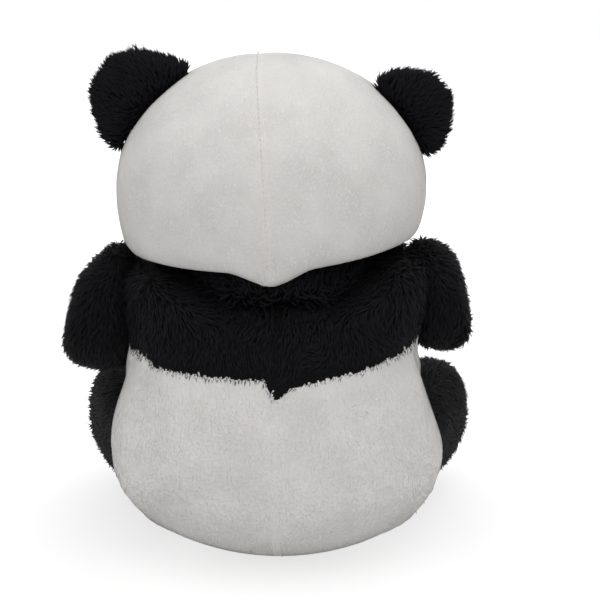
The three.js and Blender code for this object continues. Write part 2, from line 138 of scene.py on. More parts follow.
# The floor glows a little less under the panda, so that it shows a soft shadow there.
GLOW_NEAR, GLOW_FAR = 0.12, 0.45
floor_mesh = bpy.data.meshes.new("floor")
floor_mesh.from_pydata(
    [(-FLOOR_HALF, -FLOOR_HALF, 0), (FLOOR_HALF, -FLOOR_HALF, 0),
     (FLOOR_HALF, FLOOR_HALF, 0), (-FLOOR_HALF, FLOOR_HALF, 0)], [], [(0, 1, 2, 3)])
floor = linked("floor", floor_mesh)
paper = bpy.data.materials.new("matt_white_paper")
paper.use_nodes = True
paper.node_tree.nodes.clear()
paper_lit = node(paper.node_tree, "ShaderNodeBsdfDiffuse", {"Color": (0.8, 0.8, 0.8, 1)})
paper_shade = node(paper.node_tree, "ShaderNodeBsdfDiffuse", {"Color": (0.34, 0.34, 0.34, 1)})
paper_place = node(paper.node_tree, "ShaderNodeTexCoord").outputs["Object"]
paper_far = node(paper.node_tree, "ShaderNodeVectorMath", {0: paper_place}, operation="LENGTH")
paper_fade = node(paper.node_tree, "ShaderNodeMapRange", {
    "Value": paper_far.outputs["Value"], "From Min": GLOW_NEAR, "From Max": GLOW_FAR,
    "To Min": 0.72, "To Max": 1.0})
paper_glow = node(paper.node_tree, "ShaderNodeEmission", {
    "Color": WHITE, "Strength": paper_fade.outputs[0]})
paper_seen = node(paper.node_tree, "ShaderNodeAddShader", {
    0: paper_shade.outputs[0], 1: paper_glow.outputs[0]})
paper_all = node(paper.node_tree, "ShaderNodeMixShader", {
    0: backdrop_share(paper.node_tree), 1: paper_lit.outputs[0], 2: paper_seen.outputs[0]})
node(paper.node_tree, "ShaderNodeOutputMaterial", {"Surface": paper_all.outputs[0]})
floor.data.materials.append(paper)

# ---------------------------------------------------------------- torso
# One bag, black above the waist seam and white below it, sewn down the middle of the back and
# front. It is knitted polyester with a cut pile, stuffed tight, and sits on a flat base panel.

TORSO_NODES = (
    "upper_back_left", "upper_back_right", "chest", "lower_back_left", "lower_back_right",
    "belly_left", "belly_right", "base_panel", "torso_stuffing")
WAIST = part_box("chest")[0].z
BACK_SEAM = 0.0015  # the middle seam lies this far to the left
BODIES = frame["record"]["behaviour"]["bodies"]
SEWN_REACH = 0.004  # fabric this near a piece of another body is held in place
PILE_CLEAR = 0.002  # no pile grows this near a piece of another body
PARTING = 0.003  # the pile parts this far to each side of a seam
STUFFING_PRESSURE = 4
STUFFING_STEPS = 20


def linear(hex_colour):
    """An sRGB hex colour as linear light, with full opacity."""
    parts = [int(hex_colour[i:i + 2], 16) / 255 for i in (0, 2, 4)]
    return [p / 12.92 if p <= 0.04045 else ((p + 0.055) / 1.055) ** 2.4 for p in parts] + [1]


def read(mesh, field="co"):
    """The places or normals of a mesh's points."""
    values = np.empty(len(mesh.vertices) * 3, np.float32)
    mesh.vertices.foreach_get(field, values)
    return values.reshape(-1, 3).astype(float)


def write(mesh, points):
    """Moves a mesh's points."""
    mesh.vertices.foreach_set("co", points.astype(np.float32).ravel())
    mesh.update()


def finished(piece):
    """Puts what the piece's modifiers make into its mesh, and takes them off."""
    graph = bpy.context.evaluated_depsgraph_get()
    mesh = bpy.data.meshes.new_from_object(
        piece.evaluated_get(graph), preserve_all_data_layers=True, depsgraph=graph)
    piece.modifiers.clear()
    piece.data = mesh
    return piece


def touched(points, body, reach):
    """1 where a solid of another body is against the point, and 0 where it is out of reach."""
    places, faces = [], []
    for other, members in BODIES.items():
        for member in members if other != body else ():
            mesh = frame["nodes"][member].data
            faces += [[v + len(places) for v in face.vertices] for face in mesh.polygons]
            places += [v.co for v in mesh.vertices]
    tree = BVHTree.FromPolygons(places, faces)
    gaps = [tree.find_nearest(Vector(p))[3] for p in points]
    return np.clip(1.5 - np.array(gaps) / reach, 0, 1)


def merged(name, nodes, voxel, rounding, taut=False):
    """One closed, rounded and even skin around CAD solids. A taut one bridges their hollows."""
    solid = bmesh.new()
    for each in nodes:
        solid.from_mesh(frame["nodes"][each].data)
    bmesh.ops.remove_doubles(solid, verts=solid.verts, dist=1e-6)
    if taut:
        places = [v.co.copy() for v in solid.verts]
        solid.clear()
        for place in places:
            solid.verts.new(place)
        hull = bmesh.ops.convex_hull(solid, input=solid.verts)
        loose = {each for each in hull["geom_interior"] + hull["geom_unused"]
                 if isinstance(each, bmesh.types.BMVert)}
        bmesh.ops.delete(solid, geom=list(loose), context="VERTS")
    bag = linked(name, bpy.data.meshes.new(name))
    solid.to_mesh(bag.data)
    solid.free()
    remesh = bag.modifiers.new("remesh", "REMESH")
    remesh.mode = "VOXEL"
    remesh.voxel_size = voxel
    smooth = bag.modifiers.new("rounding", "SMOOTH")
    smooth.factor = 0.5
    smooth.iterations = rounding
    return finished(bag)


def refined(piece):
    """Halves the faces of a piece and shades it smooth."""
    fine = piece.modifiers.new("fine", "SUBSURF")
    fine.levels = fine.render_levels = 1
    finished(piece)
    piece.data.polygons.foreach_set("use_smooth", [True] * len(piece.data.polygons))
    return piece


def stuffed(name, nodes, body, depth, rounding, swell=0, seam=None, shape=None, voxel=0.005,
            taut=False):
    """A closed bag in the place of CAD solids, blown up between its seams as stuffing does.

    It lies depth inside them, to leave room for the pile, and swells by no more than swell.
    seam gives each point's distance from the nearest seam, and shape moves the points of the
    bag before it is stuffed.
    """
    bag = merged(name, nodes, voxel, rounding, taut)
    start = read(bag.data)
    held = touched(start, body, SEWN_REACH)
    start -= read(bag.data, "normal") * (depth * (1 - held))[:, None]
    if shape is not None:
        start = shape(start)
    write(bag.data, start)
    if seam is not None:
        held = np.maximum(held, seam(start) < 0.6 * voxel)
    held = np.maximum(held, start[:, 2] < voxel)
    if swell:
        group = bag.vertex_groups.new(name="held")
        for index in np.nonzero(held)[0]:
            group.add([int(index)], float(held[index]), "REPLACE")
        cloth = bag.modifiers.new("stuffing", "CLOTH")
        cloth.settings.vertex_group_mass = "held"
        cloth.settings.use_pressure = True
        cloth.settings.uniform_pressure_force = STUFFING_PRESSURE
        cloth.settings.effector_weights.gravity = 0
        cloth.settings.bending_stiffness = 2
        cloth.collision_settings.use_collision = False
        for step in range(1, STUFFING_STEPS + 1):
            scene.frame_set(step)
        blown = bag.evaluated_get(bpy.context.evaluated_depsgraph_get())
        move = read(blown.data) - start
        far = np.linalg.norm(move, axis=1)
        start += move * np.minimum(1, swell / np.maximum(far, 1e-9))[:, None]
        bag.modifiers.clear()
        bag.vertex_groups.clear()
        write(bag.data, start)
    return refined(bag)


def skin(piece):
    """A piece's surface, to find the nearest place on it or where a ray meets it."""
    return BVHTree.FromPolygons(
        read(piece.data).tolist(), [tuple(face.vertices) for face in piece.data.polygons])


def blank(name):
    """A new material, with its node tree and shader."""
    material = bpy.data.materials.new(name)
    material.use_nodes = True
    return material, material.node_tree, material.node_tree.nodes["Principled BSDF"]


def knit(name, dark, light):
    """Knitted polyester ground: dull, faintly mottled, with a rib 1 mm apart."""
    material, tree, shader = blank(name)
    place = node(tree, "ShaderNodeTexCoord").outputs["Object"]
    mottle = node(tree, "ShaderNodeTexNoise", {"Vector": place, "Scale": 90.0, "Detail": 4.0})
    tint = node(tree, "ShaderNodeMix", {
        0: mottle.outputs["Fac"], 6: linear(dark), 7: linear(light)}, data_type="RGBA")
    rib = node(tree, "ShaderNodeTexWave", {
        "Vector": place, "Scale": 160.0, "Distortion": 3.0, "Detail": 2.0, "Detail Scale": 2.0})
    bump = node(tree, "ShaderNodeBump", {
        "Height": rib.outputs["Fac"], "Strength": 0.35, "Distance": 0.0005})
    tree.links.new(tint.outputs[2], shader.inputs["Base Color"])
    tree.links.new(bump.outputs["Normal"], shader.inputs["Normal"])
    shader.inputs["Roughness"].default_value = 0.95
    shader.inputs["Specular IOR Level"].default_value = 0.2
    return material


def fibres(name, root, tip, roughness, gloss, mottle):
    """Cut pile: darker at the root, where less light reaches, and no two tufts quite alike.

    Painted shade darkens patches about 25 mm wide by the share mottle, where the pile lies another way.
    """
    material, tree, shader = blank(name)
    along = node(tree, "ShaderNodeAttribute", attribute_name="along").outputs["Fac"]
    shade = node(tree, "ShaderNodeAttribute", attribute_name="shade").outputs["Fac"]
    tint = node(tree, "ShaderNodeMix", {
        0: along, 6: linear(root), 7: linear(tip)}, data_type="RGBA")
    place = node(tree, "ShaderNodeTexCoord").outputs["Object"]
    patches = node(tree, "ShaderNodeTexNoise", {"Vector": place, "Scale": 40.0, "Detail": 2.0})
    # Painted shade: darker patches where the pile lies another way, in place of the light it would turn aside.
    painted_lie_shade = node(tree, "ShaderNodeMapRange", {
        "Value": patches.outputs["Fac"], "From Min": 0.3, "From Max": 0.7,
        "To Min": 1.0 - mottle, "To Max": 1.0})
    darker = node(tree, "ShaderNodeMath", {0: shade, 1: painted_lie_shade.outputs[0]}, operation="MULTIPLY")
    varied = node(tree, "ShaderNodeVectorMath", {
        0: tint.outputs[2], "Scale": darker.outputs[0]}, operation="SCALE")
    tree.links.new(varied.outputs[0], shader.inputs["Base Color"])
    shader.inputs["Roughness"].default_value = roughness
    shader.inputs["Specular IOR Level"].default_value = gloss
    return material


def ripple(points, size, seed):
    """A smooth random direction at each point, which changes over about that size."""
    chance = np.random.default_rng(seed)
    total = np.zeros_like(points)
    for _ in range(7):
        wave = chance.normal(size=(3, 3)) * 3.6 / size
        total += np.sin(points @ wave + chance.uniform(0, 2 * math.pi, 3))
    return total / math.sqrt(7)


def tuft(width, bend, rings):
    """One clump of fibres, 1 long: three-sided, bent over and drawn to a point.

    rings are its (height, girth) below the point.
    """
    places, along = [], []
    for share, girth in rings:
        for side in range(3):
            turn = math.radians(60 + 120 * side)
            places.append((
                0.45 * width * girth * math.cos(turn) - bend * max(0, share) ** 2,
                0.5 * width * girth * math.sin(turn), share))
            along.append(max(0, share))
    tip = len(places)
    places.append((-bend, 0, 0.96))
    along.append(1)
    faces = [(2, 1, 0)]
    # Each face has its own strip of the bake's cell: the base below, and the sides above it.
    strip = [(0.1, 0.08), (0.5, 0.14), (0.9, 0.08)]
    for level in range(len(rings)):
        for side in range(3):
            first, second = 3 * level + side, 3 * level + (side + 1) % 3
            left, right = 0.1 + 0.27 * side, 0.35 + 0.27 * side
            low = 0.18 + 0.4 * level
            if level < len(rings) - 1:
                faces.append((first, second, second + 3, first + 3))
                strip += [(left, low), (right, low), (right, low + 0.34), (left, low + 0.34)]
            else:
                faces.append((first, second, tip))
                strip += [(left, low), (right, low), (0.5 * (left + right), low + 0.37)]
    mesh = bpy.data.meshes.new("tuft")
    mesh.from_pydata(places, [], faces)
    mesh.attributes.new("along", "FLOAT", "POINT").data.foreach_set("value", along)
    mesh.uv_layers.new(name="OFBake").data.foreach_set("uv", np.array(strip, np.float32).ravel())
    mesh.polygons.foreach_set("use_smooth", [True] * len(mesh.polygons))
    return linked("tuft", mesh)


def pile_nodes():
    """Sets tufts on a surface, leaning the way that its comb attribute points."""
    tree = bpy.data.node_groups.new("pile", "GeometryNodeTree")
    tree.interface.new_socket("Surface", in_out="INPUT", socket_type="NodeSocketGeometry")
    for label, kind in (
        ("Tuft", "NodeSocketObject"), ("Fibres", "NodeSocketMaterial"),
        ("Density", "NodeSocketFloat"), ("Length", "NodeSocketFloat"), ("Lean", "NodeSocketFloat"),
        ("Wildness", "NodeSocketFloat"), ("Softness", "NodeSocketFloat"),
        ("Variation", "NodeSocketFloat"), ("Seed", "NodeSocketInt"),
    ):
        tree.interface.new_socket(label, in_out="INPUT", socket_type=kind)
    tree.interface.new_socket("Pile", in_out="OUTPUT", socket_type="NodeSocketGeometry")
    given = node(tree, "NodeGroupInput").outputs
    cover = node(tree, "GeometryNodeInputNamedAttribute", {"Name": "cover"}, data_type="FLOAT")
    reach = node(tree, "GeometryNodeInputNamedAttribute", {"Name": "reach"}, data_type="FLOAT")
    comb = node(tree, "GeometryNodeInputNamedAttribute", {"Name": "comb"}, data_type="FLOAT_VECTOR")
    density = node(tree, "ShaderNodeMath", {
        0: given["Density"], 1: cover.outputs[0]}, operation="MULTIPLY")
    roots = node(tree, "GeometryNodeDistributePointsOnFaces", {
        "Mesh": given["Surface"], "Density": density.outputs[0], "Seed": given["Seed"]})
    normal = roots.outputs["Normal"]
    chance = node(tree, "FunctionNodeRandomValue", {
        0: (-1, -1, -1), 1: (1, 1, 1), "Seed": 1}, data_type="FLOAT_VECTOR")
    leaning = node(tree, "ShaderNodeVectorMath", {
        0: comb.outputs[0], "Scale": given["Lean"]}, operation="SCALE")
    straying = node(tree, "ShaderNodeVectorMath", {
        0: chance.outputs[0], "Scale": given["Wildness"]}, operation="SCALE")
    raised = node(tree, "ShaderNodeVectorMath", {0: leaning.outputs[0], 1: normal}, operation="ADD")
    way = node(tree, "ShaderNodeVectorMath", {
        0: raised.outputs[0], 1: straying.outputs[0]}, operation="ADD")
    pointed = node(tree, "FunctionNodeAlignRotationToVector", {"Vector": way.outputs[0]}, axis="Z")
    rolled = node(tree, "FunctionNodeAlignRotationToVector", {
        "Rotation": pointed.outputs[0], "Vector": normal}, axis="X", pivot_axis="Z")
    uneven = node(tree, "FunctionNodeRandomValue", {2: 0.72, 3: 1.15, "Seed": 2}, data_type="FLOAT")
    grown = node(tree, "ShaderNodeMath", {
        0: uneven.outputs[1], 1: reach.outputs[0]}, operation="MULTIPLY")
    length = node(tree, "ShaderNodeMath", {
        0: grown.outputs[0], 1: given["Length"]}, operation="MULTIPLY")
    shape = node(tree, "GeometryNodeObjectInfo", {"Object": given["Tuft"]})
    tufts = node(tree, "GeometryNodeInstanceOnPoints", {
        "Points": roots.outputs["Points"], "Instance": shape.outputs["Geometry"],
        "Rotation": rolled.outputs[0], "Scale": length.outputs[0]})
    darkest = node(tree, "ShaderNodeMath", {0: 1.0, 1: given["Variation"]}, operation="SUBTRACT")
    shade = node(tree, "FunctionNodeRandomValue", {
        2: darkest.outputs[0], 3: 1.0, "Seed": 3}, data_type="FLOAT")
    shaded = node(tree, "GeometryNodeStoreNamedAttribute", {
        "Geometry": tufts.outputs[0], "Name": "shade", "Value": shade.outputs[1]},
        data_type="FLOAT", domain="INSTANCE")
    faced = node(tree, "GeometryNodeStoreNamedAttribute", {
        "Geometry": shaded.outputs[0], "Name": "out", "Value": normal},
        data_type="FLOAT_VECTOR", domain="INSTANCE")
    real = node(tree, "GeometryNodeRealizeInstances", {"Geometry": faced.outputs[0]})
    # Light meets a pile more as one soft surface than as its single clumps.
    out = node(tree, "GeometryNodeInputNamedAttribute", {"Name": "out"}, data_type="FLOAT_VECTOR")
    own = node(tree, "GeometryNodeInputNormal")
    crisp = node(tree, "ShaderNodeMath", {0: 1.0, 1: given["Softness"]}, operation="SUBTRACT")
    soft_part = node(tree, "ShaderNodeVectorMath", {
        0: out.outputs[0], "Scale": given["Softness"]}, operation="SCALE")
    own_part = node(tree, "ShaderNodeVectorMath", {
        0: own.outputs[0], "Scale": crisp.outputs[0]}, operation="SCALE")
    both = node(tree, "ShaderNodeVectorMath", {
        0: soft_part.outputs[0], 1: own_part.outputs[0]}, operation="ADD")
    level = node(tree, "ShaderNodeVectorMath", {0: both.outputs[0]}, operation="NORMALIZE")
    softened = node(tree, "GeometryNodeSetMeshNormal", mode="FREE", domain="POINT")
    tree.links.new(real.outputs[0], softened.inputs["Mesh"])
    tree.links.new(level.outputs[0], softened.inputs["Custom Normal"])
    dressed = node(tree, "GeometryNodeSetMaterial", {
        "Geometry": softened.outputs[0], "Material": given["Fibres"]})
    node(tree, "NodeGroupOutput", {"Pile": dressed.outputs[0]})
    return tree


def worked(piece, tree, inputs):
    """Runs a node tree on a piece, with inputs given by name, and keeps the mesh that it makes."""
    run = piece.modifiers.new(tree.name, "NODES")
    run.node_group = tree
    for item in tree.interface.items_tree:
        if item.item_type == "SOCKET" and item.in_out == "INPUT" and item.name in inputs:
            run[item.identifier] = inputs[item.name]
    return finished(piece)


PILE = pile_nodes()
FLOOR_CLEAR = 0.0004  # the pile is pressed flat this far above the floor


def pile(name, surface, body, slot, tuft_shape, material, comb, cover, **sizes):
    """Grows a pile on a surface.

    comb and cover take its points and normals: comb gives the way that the tufts lie, and cover
    the shares of the density and of the length there.
    """
    ground = linked(name, surface.data.copy())
    mesh = ground.data
    points, normals = read(mesh), read(mesh, "normal")
    way = comb(points, normals)
    way = way - normals * (way * normals).sum(1)[:, None]
    way /= np.maximum(np.linalg.norm(way, axis=1), 1e-9)[:, None]
    density, reach = cover(points, normals)
    for label, kind, values in (("comb", "FLOAT_VECTOR", way), ("cover", "FLOAT", density),
                                ("reach", "FLOAT", reach)):
        attribute = mesh.attributes.new(label, kind, "POINT")
        field = "vector" if kind == "FLOAT_VECTOR" else "value"
        shape = way.shape if field == "vector" else len(way)
        attribute.data.foreach_set(
            field, np.broadcast_to(values, shape).astype(np.float32).ravel())
    mesh = worked(ground, PILE, {"Tuft": tuft_shape, "Fibres": material, **sizes}).data
    mesh.attributes.remove(mesh.attributes["out"])
    places = read(mesh)
    places[:, 2] = np.maximum(places[:, 2], FLOOR_CLEAR)
    write(mesh, places)
    # Each tuft has its own cell of the bake, in rows across a square.
    cell = np.arange(len(mesh.loops)) // len(tuft_shape.data.loops)
    across = math.ceil(math.sqrt(cell[-1] + 1))
    spots = np.empty(len(mesh.loops) * 2, np.float32)
    mesh.uv_layers["OFBake"].data.foreach_get("uv", spots)
    spots = (spots.reshape(-1, 2) + np.stack([cell % across, cell // across], 1)) / across
    mesh.uv_layers["OFBake"].data.foreach_set("uv", spots.astype(np.float32).ravel())
    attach(ground, body)
    return ground


white_knit = knit("knitted_polyester_white", "dcd9d5", "e8e6e3")
black_knit = knit("knitted_polyester_black", "050506", "0a0a0c")
white_fibres = fibres("cut_polyester_pile_white", "e2e0dd", "f4f2f0", 0.9, 0.1, 0.12)
black_fibres = fibres("cut_polyester_pile_black", "050507", "1a1a20", 0.75, 0.15, 0.3)
white_tuft = tuft(0.3, 0.4, ((-0.06, 1.0),))
black_tuft = tuft(0.17, 0.3, ((-0.06, 1.0), (0.45, 0.8)))


HIPS_HEIGHT, HIPS_SPREAD = 0.052, 0.045
SHOULDERS_HEIGHT, SHOULDERS_RISE, SHOULDERS_OUT = 0.13, 0.021, 0.012


def torso_shape(points):
    """Full at the hips, where the white fabric bulges over the legs, and at the shoulders.

    The left hip is the fuller one, and the right shoulder the higher one.
    """
    hips = np.exp(-((points[:, 2] - HIPS_HEIGHT) / HIPS_SPREAD) ** 2)
    hips *= np.clip((points[:, 1] + 0.03) / 0.06, 0, 1)
    shoulders = np.clip((abs(points[:, 0]) - 0.03) / 0.03, 0, 1)
    shoulders *= np.clip((points[:, 2] - SHOULDERS_HEIGHT) / 0.02, 0, 1)
    left, right = (np.clip(sign * points[:, 0] / 0.05, 0, 1) for sign in (1, -1))
    moved = points.copy()
    moved[:, 0] *= 1 + hips * (0.1 + 0.03 * left)
    moved[:, 0] += SHOULDERS_OUT * shoulders * np.sign(points[:, 0])
    moved[:, 2] += shoulders * (SHOULDERS_RISE + 0.004 * right)
    return moved


torso = stuffed(
    "torso", TORSO_NODES, "torso", depth=0.003, rounding=6, swell=0.003, shape=torso_shape,
    taut=True, seam=lambda p: np.minimum(abs(p[:, 0] - BACK_SEAM), abs(p[:, 2] - WAIST)))


def torso_comb(points, normals):
    """Brushed downwards, with soft swirls."""
    return np.array([0, 0, -1.0]) + 0.4 * ripple(points, 0.05, 11) + 0.3 * ripple(points, 0.014, 12)


# The black edge across the back, from right to left, in millimetres: how far aside it is, and
# how far above the waist seam. It is cut to a point at the middle seam.
BLACK_EDGE = (
    (-78, 6), (-72, 3), (-45, -3), (-23, -6), (-7, -9), (0, -15), (3, -15), (8, -5), (57, -5),
    (70, -6), (78, -2))


def waistline(points):
    """Height of the edge between black and white. At the front it runs level."""
    aside, rise = np.array(BLACK_EDGE).T / 1000
    return WAIST + np.interp(points[:, 0], aside, rise) * np.clip(points[:, 1] / 0.02, 0, 1)


def torso_cover(black, back):
    """Where a torso panel's pile grows, and how long: short at the seams and underneath."""
    def cover(points, normals):
        side = points[:, 1] >= 0 if back else points[:, 1] < 0
        above = points[:, 2] >= waistline(points)
        shown = (side & (above if black else ~above)).astype(float)
        shown *= 1 - touched(points, "torso", PILE_CLEAR)
        shown *= np.clip((points[:, 2] - 0.002) / 0.006, 0, 1)
        parting = np.clip(abs(points[:, 0] - BACK_SEAM) / PARTING, 0.6, 1)
        if black:
            parting *= np.clip((points[:, 2] - waistline(points)) / 0.009, 0.45, 1)
        shoulders = np.clip((points[:, 2] - 0.145) / 0.015, 0, 1)
        under = np.clip(1.25 + normals[:, 2], 0.35, 1)
        return shown, parting * under * (1 + 0.5 * shoulders)
    return cover


for name, black, back in (("upper_back_pile", True, True), ("chest_pile", True, False),
                          ("lower_back_pile", False, True), ("belly_pile", False, False)):
    if black:
        pile(name, torso, "torso", "black_plush", black_tuft, black_fibres, torso_comb,
             torso_cover(black, back), Density=600000.0, Length=0.006, Lean=1.5, Wildness=0.45,
             Softness=0.45, Variation=0.45, Seed=23 + back)
    else:
        pile(name, torso, "torso", "white_plush", white_tuft, white_fibres, torso_comb,
             torso_cover(black, back), Density=1000000.0, Length=0.0052, Lean=3.0, Wildness=0.3,
             Softness=0.97, Variation=0.04, Seed=21 + back)


def parted(bag, name, above):
    """The part of a closed bag on one side of the waist, closed along it."""
    part = bmesh.new()
    part.from_mesh(bag.data)

    def straighten(way):
        """Moves the waist to a level plane, or back."""
        for point in part.verts:
            point.co.z += way * float(waistline(np.array([point.co]))[0] - WAIST)

    straighten(-1)
    everything = part.verts[:] + part.edges[:] + part.faces[:]
    bmesh.ops.bisect_plane(
        part, geom=everything, plane_co=(0, 0, WAIST), plane_no=(0, 0, 1),
        clear_inner=above, clear_outer=not above)
    bmesh.ops.holes_fill(part, edges=[e for e in part.edges if e.is_boundary], sides=0)
    straighten(1)
    piece = linked(name, bpy.data.meshes.new(name))
    part.to_mesh(piece.data)
    part.free()
    return piece


for name, above, slot, material, replaced in (
    ("torso_black_bag", True, "black_plush", black_knit, TORSO_NODES[:3]),
    ("torso_white_bag", False, "white_plush", white_knit, TORSO_NODES[3:]),
):
    piece = parted(torso, name, above)
    piece.data.materials.append(material)
    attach(piece, "torso")
    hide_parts(*replaced)
torso_skin = skin(torso)
bpy.data.objects.remove(torso)

# ---------------------------------------------------------------- bag of pellets
# A loose bag of plastic pellets in plain-woven cotton. It lies low in the back of the torso and
# keeps the panda upright.


def calico(name, dark, light):
    """Unbleached plain-woven cotton, dull. Its threads are 1.2 mm apart, coarser than real."""
    material, tree, shader = blank(name)
    place = node(tree, "ShaderNodeTexCoord").outputs["Object"]
    threads = [node(tree, "ShaderNodeTexWave", {
        "Vector": place, "Scale": 260.0, "Distortion": 0.6}, bands_direction=way).outputs["Fac"]
        for way in ("X", "Z")]
    weave = node(tree, "ShaderNodeMath", {0: threads[0], 1: threads[1]}, operation="MAXIMUM")
    tint = node(tree, "ShaderNodeMix", {
        0: weave.outputs[0], 6: linear(dark), 7: linear(light)}, data_type="RGBA")
    bump = node(tree, "ShaderNodeBump", {
        "Height": weave.outputs[0], "Strength": 0.4, "Distance": 0.0004})
    tree.links.new(tint.outputs[2], shader.inputs["Base Color"])
    tree.links.new(bump.outputs["Normal"], shader.inputs["Normal"])
    shader.inputs["Roughness"].default_value = 0.9
    return material


pellets = stuffed("pellet_bag", ["bean_bag"], "torso", depth=0.001, rounding=4, swell=0.001,
                  voxel=0.004)
pellets.data.materials.append(calico("woven_cotton_calico", "b9ac8e", "d8ccb0"))
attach(pellets, "torso")
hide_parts("bean_bag")

# ---------------------------------------------------------------- neck
# A round plug of stuffing under black plush, on which the head turns and nods. Its pile fills
# the gap between the shoulders and the head's lower edge.

neck = stuffed("neck_bag", ["neck_stuffing"], "neck", depth=0, rounding=1, swell=0.001)
neck.data.materials.append(black_knit)
HEAD_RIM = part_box("head_back_left")[0].z
pile("neck_pile", neck, "neck", "black_plush", black_tuft, black_fibres,
     lambda p, n: p * [1, 1, 0] + [0, 0, 0.02],
     lambda p, n: ((p[:, 2] < HEAD_RIM).astype(float) * (n[:, 2] > -0.5), np.ones(len(p))),
     Density=560000.0, Length=0.013, Lean=0.3, Wildness=0.5, Softness=0.4, Variation=0.45, Seed=31)
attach(neck, "neck")
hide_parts("neck_stuffing")

# ---------------------------------------------------------------- head
# A bag of white plush with a short, dense pile that is brushed down from the crown. One seam
# runs over it from the neck, and leans to the left.

HEAD_NODES = (
    "head_back_left", "head_back_right", "head_face_left", "head_face_right", "head_stuffing")
HEAD_SEAM_LOW = 0.0041  # how far to the left the seam is at the neck
HEAD_SEAM_HIGH = 0.0123  # and at the crown
SEAM_GROOVE = 0.0008
HEAD_EDGE_RISE = 0.007  # the lower edge is this much higher than the solid's
HEAD_EDGE_RIGHT = 0.008  # and on the right this much more
HEAD_POINT_DROP = 0.009  # the point at the seam hangs this much below that
HEAD_POINT_HALF = 0.022  # half the point's width
head_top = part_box("head_back_left")[1].z


def head_seam(height):
    """How far to the left the seam lies at a height."""
    share = np.clip((height - HEAD_RIM) / (head_top - HEAD_RIM), 0, 1)
    return HEAD_SEAM_LOW + (HEAD_SEAM_HIGH - HEAD_SEAM_LOW) * share


def head_shape(points):
    """The lower edge comes to a point at the seam, and rises to both sides, most on the right.

    The seam lies in a shallow groove.
    """
    right = np.clip(-points[:, 0] / 0.07, 0, 1)
    low = np.exp(-np.maximum(points[:, 2] - HEAD_RIM, 0) / (0.016 + 0.016 * right))
    low *= np.clip((points[:, 1] + 0.06) / 0.05, 0, 1)
    point = np.clip(1 - abs(points[:, 0] - HEAD_SEAM_LOW) / HEAD_POINT_HALF, 0, 1)
    beside = points[:, 0] - head_seam(points[:, 2])
    moved = points.copy()
    moved[:, 2] += low * (HEAD_EDGE_RISE - HEAD_POINT_DROP * point + HEAD_EDGE_RIGHT * right)
    towards = points - [HEAD_SEAM_LOW, 0, 0.5 * (HEAD_RIM + head_top)]
    towards /= np.linalg.norm(towards, axis=1)[:, None]
    moved -= towards * (SEAM_GROOVE * np.exp(-(beside / PARTING) ** 2))[:, None]
    return moved


head = stuffed(
    "head_bag", HEAD_NODES, "head", depth=-0.0015, rounding=8, swell=0.002, shape=head_shape,
    seam=lambda p: abs(p[:, 0] - head_seam(p[:, 2])))
head.data.materials.append(white_knit)


def head_comb(points, normals):
    """Brushed back over the crown and down, in shallow waves."""
    waves = 0.2 * ripple(points, 0.06, 41), 0.15 * ripple(points, 0.02, 42)
    return np.array([0, 0.7, -1.0]) + waves[0] + waves[1]


def head_cover(back):
    """Where the head's pile grows: not inside the neck, nor under the ears."""
    def cover(points, normals):
        shown = (points[:, 1] >= 0 if back else points[:, 1] < 0).astype(float)
        shown *= 1 - touched(points, "head", PILE_CLEAR)
        shown *= points[:, 2] > HEAD_RIM + 0.002
        parting = np.clip(abs(points[:, 0] - head_seam(points[:, 2])) / PARTING, 0.4, 1)
        return shown, parting
    return cover


for name, back in (("head_back_pile", True), ("head_face_pile", False)):
    pile(name, head, "head", "white_plush", white_tuft, white_fibres, head_comb, head_cover(back),
         Density=1000000.0, Length=0.0042, Lean=3.4, Wildness=0.3, Softness=0.98, Variation=0.03,
         Seed=43 + back)
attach(head, "head")
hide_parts(*HEAD_NODES)


def stitch(girth):
    """One stitch, 1 long along X: a plump six-sided thread that dips in at both ends."""
    made = bmesh.new()
    rings = []
    for share, thick in ((-0.42, 0.6), (0, 1), (0.42, 0.6)):
        radius = 0.5 * girth * thick
        crown = 0.3 * girth * (1 - 4 * share ** 2)
        turns = [math.radians(60 * side) for side in range(6)]
        rings.append([made.verts.new((
            share, radius * math.cos(turn), crown + radius * math.sin(turn))) for turn in turns])
    ends = [made.verts.new((share, 0, -0.5 * girth)) for share in (-0.5, 0.5)]
    for side in range(6):
        after = (side + 1) % 6
        for near, far in zip(rings, rings[1:]):
            made.faces.new((near[side], far[side], far[after], near[after]))
        made.faces.new((ends[0], rings[0][side], rings[0][after]))
        made.faces.new((ends[1], rings[2][after], rings[2][side]))
    bmesh.ops.recalc_face_normals(made, faces=made.faces)
    mesh = bpy.data.meshes.new("stitch")
    made.to_mesh(mesh)
    made.free()
    mesh.polygons.foreach_set("use_smooth", [True] * len(mesh.polygons))
    return linked("stitch", mesh)


